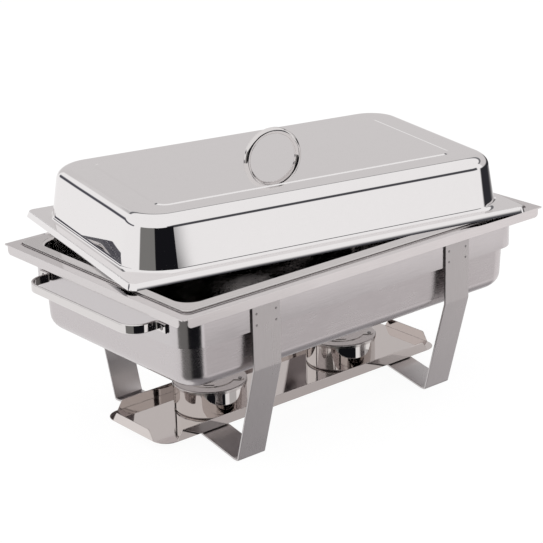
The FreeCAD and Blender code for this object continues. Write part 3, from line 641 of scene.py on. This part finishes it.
@dataclass
class EndHandles:
    """Thick polished bars bent into a U with a flat tab at each end."""

    thick: float = 3.2 * MM
    tab: float = 18 * MM
    bend: float = 22 * MM
    root_bend: float = 3.5 * MM
    edge: float = 1.4 * MM

    def build(self) -> None:
        """Make both end handles."""
        for side, way in (("left", -1), ("right", 1)):
            node = "end_handle_" + side
            low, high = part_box(node)
            near, far = sorted((abs(low.x), abs(high.x)))
            half = self.thick / 2
            inner, outer = (near + half) * way, (far - half) * way
            end = high.y
            arm = end - self.tab
            route = ((inner, -end), (inner, -arm), (outer, -arm), (outer, arm), (inner, arm), (inner, end))
            bends = (0, self.root_bend, self.bend, self.bend, self.root_bend, 0)
            place = Matrix.Translation((0, 0, (low.z + high.z) / 2))
            section = (high.z - low.z, self.thick, self.edge)
            bar = bent_bar("carry_handle_" + side, route, bends, section, POLISHED_BAR, place)
            dress(bar, POLISHED_BAR, "frame", "handle_bar", node)


@dataclass
class Rivets:
    """Small heads that hold the straps and the end handles to the skirt."""

    strap_radius: float = 1.5 * MM
    strap_crown: float = 0.3 * MM
    pin_radius: float = 3.2 * MM
    pin_crown: float = 0.9 * MM
    pin_head: float = 1.0 * MM
    across: float = 14 * MM
    rows_up: tuple[float, float] = (190 * MM, 176.5 * MM)

    def build(self) -> None:
        """Make the strap rivets and the handle rivets."""
        skirt_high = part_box("skirt")[1]
        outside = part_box("leg_left")[1].y
        inside = skirt_high.y - SHEET
        spots = []
        for node in ("leg_left", "leg_right"):
            low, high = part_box(node)
            middle = (low.x + high.x) / 2
            for side in (-1, 1):
                for across in (-1, 1):
                    for up in self.rows_up:
                        x = middle + self.across * across
                        spots.append((Vector((x, outside * side, up)), Vector((0, side, 0))))
                        spots.append((Vector((x, inside * side, up)), Vector((0, -side, 0))))
        heads = domed_heads("strap_rivets", spots, self.strap_radius, self.strap_crown, TURNED_STEEL)
        dress(heads, TURNED_STEEL, "frame", "fastener", "leg_rivets")
        low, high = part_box("handle_rivets")
        up = (low.z + high.z) / 2
        pins = []
        for way in (-1, 1):
            for side in (-1, 1):
                y = (high.y - self.pin_radius) * side
                pins.append((Vector(((high.x - self.pin_head) * way, y, up)), Vector((way, 0, 0))))
                pins.append((Vector(((skirt_high.x - SHEET) * way, y, up)), Vector((-way, 0, 0))))
        heads = domed_heads("handle_pin_heads", pins, self.pin_radius, self.pin_crown, TURNED_STEEL)
        dress(heads, TURNED_STEEL, "frame", "fastener", "handle_rivets")


@dataclass
class Pan:
    """A drawn Gastronorm pan: turned flange, drafted walls and a flat bottom."""

    node: str
    name: str
    body_long: float
    body_deep: float
    corner: float
    bottom_bend: float
    finish: Steel
    lip: float = 2.8 * MM
    flange_corner: float = 9 * MM
    draft: float = 4 * MM
    lip_bend: float = 1.0 * MM
    neck: float = 3.0 * MM
    floor_inset: float = 60 * MM
    floor_corner: float = 4 * MM

    def build(self) -> None:
        """Make the pan's one drawn shell."""
        low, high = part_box(self.node)
        inside_corner = self.corner - PAN_GAUGE
        floor = low.z + PAN_GAUGE
        wall_long, wall_deep = self.body_long / 2 - PAN_GAUGE, self.body_deep / 2 - PAN_GAUGE
        turns = ((high.x, high.y, self.flange_corner, high.z - self.lip),
                 (high.x, high.y, self.flange_corner, high.z),
                 (wall_long, wall_deep, inside_corner, high.z),
                 (wall_long - self.draft, wall_deep - self.draft, inside_corner, floor),
                 (wall_long - self.floor_inset, wall_deep - self.floor_inset, self.floor_corner, floor))
        bends = (0, self.lip_bend, self.neck, self.bottom_bend - PAN_GAUGE, 0)
        pan = settle(shell(self.name, turns, bends, PAN_GAUGE, closed=True))
        dress(pan, self.finish, self.node, self.node, self.node)


@dataclass
class Lid:
    """Drawn mirror lid with a flared flange and a raised panel, and its arched handle."""

    lip: float = 7 * MM
    flare: float = 3.5 * MM
    flange: tuple[float, float, float] = (523 * MM, 318 * MM, 7 * MM)
    dome: tuple[float, float, float] = (498 * MM, 296 * MM, 50 * MM)
    dome_tall: float = 62.5 * MM
    lean: float = 10 * MM
    edge: float = 16 * MM
    lip_bend: float = 1.2 * MM
    neck: float = 4.5 * MM
    panel: tuple[float, float, float] = (390 * MM, 194 * MM, 12 * MM)
    panel_rise: float = 0.8 * MM
    panel_slope: float = 3.2 * MM
    panel_bend: float = 0.9 * MM
    crown: float = 0.4 * MM
    crown_shares: tuple[float, ...] = (0.25, 0.5, 0.75, 0.97)
    arch_radius: float = 35 * MM
    arch_spans: int = 40
    bar: float = 8.5 * MM
    bar_round: float = 0.98

    def place(self) -> Matrix:
        """From the lid's own frame, centred on its flange, to the row frame."""
        low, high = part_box("lid_shell")
        centre = (low + high) / 2
        return Matrix.Translation((centre.x, centre.y, low.z)) @ Matrix.Rotation(LID_TURN, 4, "Z")

    def build(self) -> None:
        """Make the shell and the handle."""
        self.build_shell()
        self.build_handle()

    def build_shell(self) -> None:
        """Press the lid from one sheet."""
        long, deep, corner = self.flange[0] / 2, self.flange[1] / 2, self.flange[2]
        dome_long, dome_deep, dome_corner = self.dome[0] / 2, self.dome[1] / 2, self.dome[2]
        base = self.lip
        roof = base + self.dome_tall
        top_long, top_deep = dome_long - self.lean, dome_deep - self.lean
        panel_long, panel_deep, panel_corner = self.panel[0] / 2, self.panel[1] / 2, self.panel[2]
        panel = roof + self.panel_rise
        step = self.panel_slope
        turns = [(long + self.flare, deep + self.flare, corner + self.flare, 0.0),
                 (long, deep, corner, base),
                 (dome_long, dome_deep, dome_corner, base),
                 (top_long, top_deep, dome_corner - self.lean, roof),
                 (panel_long + step, panel_deep + step, panel_corner + step, roof),
                 (panel_long, panel_deep, panel_corner, panel)]
        bends = [0, self.lip_bend, self.neck, self.edge, self.panel_bend, self.panel_bend]
        for share in self.crown_shares:
            inset = panel_deep * share
            rise = self.crown * (1 - (1 - share) ** 2)
            turns.append((panel_long - inset, panel_deep - inset, panel_corner * (1 - share), panel + rise))
            bends.append(0)
        lid = settle(shell("mirror_lid", turns, bends, PAN_GAUGE, closed=True, steps=14), place=self.place())
        dress(lid, BUFFED_LID, "lid", "lid_mirror", "lid_shell")

    def build_handle(self) -> None:
        """Bend the lid handle from round bar into a half circle that stands on the panel."""
        foot = self.lip + self.dome_tall + self.panel_rise
        reach = self.arch_radius
        turns = [math.pi * step / self.arch_spans for step in range(self.arch_spans + 1)]
        points = [(-reach * math.cos(turn), foot + reach * math.sin(turn)) for turn in turns]
        section = (self.bar, self.bar, self.bar / 2 * self.bar_round)
        arch = bent_bar("lid_arch_handle", points, [0] * len(points), section, POLISHED_BAR,
                        self.place() @ ALONG_X_UPRIGHT)
        dress(arch, POLISHED_BAR, "lid", "handle_bar", "lid_handle")


@dataclass
class Burners:
    """Tray, two fuel cups with their caps, and the dampers."""

    cup_radius: float = 44.5 * MM
    cup_bend: float = 3 * MM
    cap_lip: float = 1.6 * MM
    flame: float = 25 * MM

    def build(self, frame: dict) -> None:
        """Make the tray and everything that stands on it."""
        tray = softened("burner_tray", "polished_tray", SHEET_EDGE)
        dress(tray, POLISHED_TRAY, "tray", "burner_tray", "burner_tray")
        for side in ("left", "right"):
            self.build_cup(side)
            self.build_cap(side)
            wear(frame, "damper_" + side, SATIN_CAP)
            wear(frame, "damper_rivet_" + side, TURNED_STEEL)
            wear(frame, "fuel_tin_" + side, TINPLATE)

    def build_cup(self, side: str) -> None:
        """Spin one fuel cup."""
        node = "fuel_cup_" + side
        low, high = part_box(node)
        radius, bore = self.cup_radius, self.cup_radius - PAN_GAUGE
        floor = low.z + PAN_GAUGE
        outer = rounded_route(((0, low.z), (radius, low.z), (radius, high.z)), (0, self.cup_bend, 0))
        inner = rounded_route(((bore, high.z), (bore, floor), (0, floor)), (0, self.cup_bend - PAN_GAUGE, 0))
        cup = settle(lathe("burner_cup_" + side, [*outer, *inner], (low + high) / 2))
        dress(cup, BUFFED_CUP, node, "cup_mirror", node)

    def build_cap(self, side: str) -> None:
        """Spin one cup cap with its turned-down edge and round flame opening."""
        node = "cup_cap_" + side
        low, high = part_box(node)
        radius = (high.x - low.x) / 2
        bore, under = radius - PAN_GAUGE, high.z - PAN_GAUGE
        outer = rounded_route(((self.flame, high.z), (radius, high.z), (radius, low.z)), (0, self.cap_lip, 0))
        inner = rounded_route(((bore, low.z), (bore, under), (self.flame, under)),
                              (0, self.cap_lip - PAN_GAUGE, 0))
        cap = settle(lathe("burner_cap_" + side, [*outer, *inner], (low + high) / 2))
        dress(cap, SATIN_CAP, node, "cup_mirror", node)


# ---------------------------------------------------------------- studio


@dataclass(frozen=True)
class Card:
    """One soft-edged patch of the studio's surround, by compass direction and height as the dish sees it.

    Angles are in degrees: bearing 0 is straight out from the serving side and 90 is towards +X.
    """

    bearing: float
    half_width: float
    low: float
    high: float
    colour: tuple[float, float, float]
    soft: float = 2.0


@dataclass
class Studio:
    """White tent with a few grey and black cards, a pale floor and the camera."""

    lens: float = 120.11
    bearing: float = -39.43
    elevation: float = 19.77
    roll: float = -1.63
    stand: tuple[float, float, float] = (-1.33283, -1.60594, 0.90866)
    sensor: float = 36.0
    sight: float = 200.0
    floor_reach: float = 40.0
    floor_grey: float = 0.12
    floor_glow: float = 0.93
    tent: tuple[float, float, float] = (0.96, 0.95, 0.95)
    cards: tuple[Card, ...] = field(default_factory=lambda: (
        Card(120, 55, 1, 29, (0.67, 0.65, 0.65), 3),
        Card(120, 55, 29, 35, (0.16, 0.16, 0.17), 1.5),
        Card(-146, 30, 8, 17, (0.08, 0.08, 0.10), 2.0),
        Card(14, 24, 3, 20, (0.07, 0.07, 0.08), 2.5),
        Card(62, 46, -90, -8, (0.98, 0.95, 0.95), 4),
        Card(38, 14, -34, -21.5, (0.56, 0.54, 0.54), 1.5),
        Card(40, 110, -90, -42, (0.34, 0.33, 0.34), 8),
        Card(86, 36, -14, 5, (0.03, 0.03, 0.035), 4),
        Card(-68, 24, -60, 16, (0.20, 0.197, 0.19), 2),
        Card(-19, 29, -50, 14, (0.008, 0.008, 0.010), 1.2),
    ))

    def build(self) -> None:
        """Set up the surround, the floor and the camera."""
        self.build_surround()
        self.build_floor()
        self.build_camera()

    def build_surround(self) -> None:
        """Paint the tent and its cards round the dish, white where the camera looks past it."""
        world = bpy.data.worlds.new("white_tent")
        bpy.context.scene.world = world
        world.use_nodes = True
        tree = world.node_tree
        tree.nodes.clear()
        way = add_node(tree, "ShaderNodeTexCoord").outputs["Generated"]
        split = add_node(tree, "ShaderNodeSeparateXYZ", None, {0: way})
        ahead = add_node(tree, "ShaderNodeMath", {"operation": "MULTIPLY"}, {0: split.outputs["Y"], 1: -1.0})
        bearing = add_node(tree, "ShaderNodeMath", {"operation": "ARCTAN2"},
                           {0: split.outputs["X"], 1: ahead.outputs[0]})
        height = add_node(tree, "ShaderNodeMath", {"operation": "ARCSINE"}, {0: split.outputs["Z"]})
        plain = add_node(tree, "ShaderNodeMixRGB", None, {"Fac": 0.0, "Color1": (*self.tent, 1.0)})
        colour = plain.outputs[0]
        for card in self.cards:
            mask = self.card_mask(tree, card, bearing.outputs[0], height.outputs[0])
            colour = add_node(tree, "ShaderNodeMixRGB", None,
                              {"Fac": mask, "Color1": colour, "Color2": (*card.colour, 1.0)}).outputs[0]
        ray = add_node(tree, "ShaderNodeLightPath").outputs["Is Camera Ray"]
        seen = add_node(tree, "ShaderNodeMixRGB", None,
                        {"Fac": ray, "Color1": colour, "Color2": (1, 1, 1, 1)})
        light = add_node(tree, "ShaderNodeBackground", None, {"Color": seen.outputs[0], "Strength": 1.0})
        add_node(tree, "ShaderNodeOutputWorld", None, {"Surface": light.outputs[0]})

    def card_mask(self, tree: bpy.types.NodeTree, card: Card, bearing: bpy.types.NodeSocket,
                  height: bpy.types.NodeSocket) -> bpy.types.NodeSocket:
        """Build the soft mask of one card.

        Args:
            tree: the surround's node tree.
            card: the card.
            bearing: the direction's bearing in radians.
            height: its height in radians.

        Returns:
            A socket that is one on the card and nought off it.
        """
        soft = math.radians(card.soft)
        turned = add_node(tree, "ShaderNodeMath", {"operation": "SUBTRACT"},
                          {0: bearing, 1: math.radians(card.bearing)})
        wrapped = add_node(tree, "ShaderNodeMath", {"operation": "WRAP"},
                           {0: turned.outputs[0], 1: math.pi, 2: -math.pi})
        aside = add_node(tree, "ShaderNodeMath", {"operation": "ABSOLUTE"}, {0: wrapped.outputs[0]})
        half_width, low, high = (math.radians(v) for v in (card.half_width, card.low, card.high))
        edges = ((aside.outputs[0], half_width + soft, half_width - soft),
                 (height, low - soft, low + soft),
                 (height, high + soft, high - soft))
        mask = None
        for value, outside, inside in edges:
            ramp = add_node(tree, "ShaderNodeMapRange", {"interpolation_type": "SMOOTHSTEP"},
                            {"Value": value, "From Min": outside, "From Max": inside}).outputs["Result"]
            if mask is None:
                mask = ramp
            else:
                both = add_node(tree, "ShaderNodeMath", {"operation": "MULTIPLY"}, {0: mask, 1: ramp})
                mask = both.outputs[0]
        return mask

    def build_floor(self) -> None:
        """Lay a pale floor that the steel doesn't mirror, because the tent's own floor is in the surround."""
        corner_ways = ((-1, -1), (1, -1), (1, 1), (-1, 1))
        floor = new_piece("studio_floor", [(x * self.floor_reach, y * self.floor_reach, 0)
                                           for x, y in corner_ways], ((0, 1, 2, 3),))
        paint = bpy.data.materials.new("pale_floor_paint")
        paint.use_nodes = True
        shader = paint.node_tree.nodes["Principled BSDF"]
        shader.inputs["Base Color"].default_value = (*[self.floor_grey] * 3, 1)
        shader.inputs["Roughness"].default_value = 0.9
        shader.inputs["Specular IOR Level"].default_value = 0.0
        shader.inputs["Emission Color"].default_value = (1, 1, 1, 1)
        shader.inputs["Emission Strength"].default_value = self.floor_glow
        floor.data.materials.append(paint)
        floor.visible_glossy = False

    def build_camera(self) -> None:
        """Stand the camera off the near left corner, looking down on the dish from a standing height."""
        turn, lift, roll = (math.radians(v) for v in (self.bearing, self.elevation, self.roll))
        back = Vector((math.sin(turn) * math.cos(lift), -math.cos(turn) * math.cos(lift), math.sin(lift)))
        right = (-back).cross(Vector((0, 0, 1))).normalized()
        up = right.cross(-back)
        side = right * math.cos(roll) + up * math.sin(roll)
        top = up * math.cos(roll) - right * math.sin(roll)
        data = bpy.data.cameras.new("camera")
        data.lens = self.lens
        data.sensor_width = self.sensor
        data.clip_end = self.sight
        camera = bpy.data.objects.new("camera", data)
        bpy.context.scene.collection.objects.link(camera)
        turned = Matrix((side, top, back)).transposed().to_4x4()
        camera.matrix_world = Matrix.Translation(self.stand) @ turned
        bpy.context.scene.camera = camera


def corners(box: tuple[Vector, Vector]) -> list[list[float]]:
    """A box as plain lists of numbers."""
    return [list(corner) for corner in box]


def main() -> None:
    """Build every piece of the dish and the studio round it."""
    logging.basicConfig(level=logging.INFO, format="%(name)s: %(message)s")
    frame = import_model()
    bpy.context.scene.view_settings.view_transform = "Standard"
    Skirting().build()
    Straps().build()
    EndHandles().build()
    Rivets().build()
    Pan("water_pan", "drawn_water_pan", 512 * MM, 298 * MM, 28 * MM, 19 * MM, SATIN_PAN).build()
    Pan("food_pan", "drawn_food_pan", 506 * MM, 292 * MM, 25 * MM, 14 * MM, BRIGHT_PAN).build()
    Lid().build()
    wear(frame, "lid_screws", TURNED_STEEL)
    wear(frame, "lid_washers", TURNED_STEEL)
    Burners().build(frame)
    Studio().build()


if __name__ == "__main__":
    main()
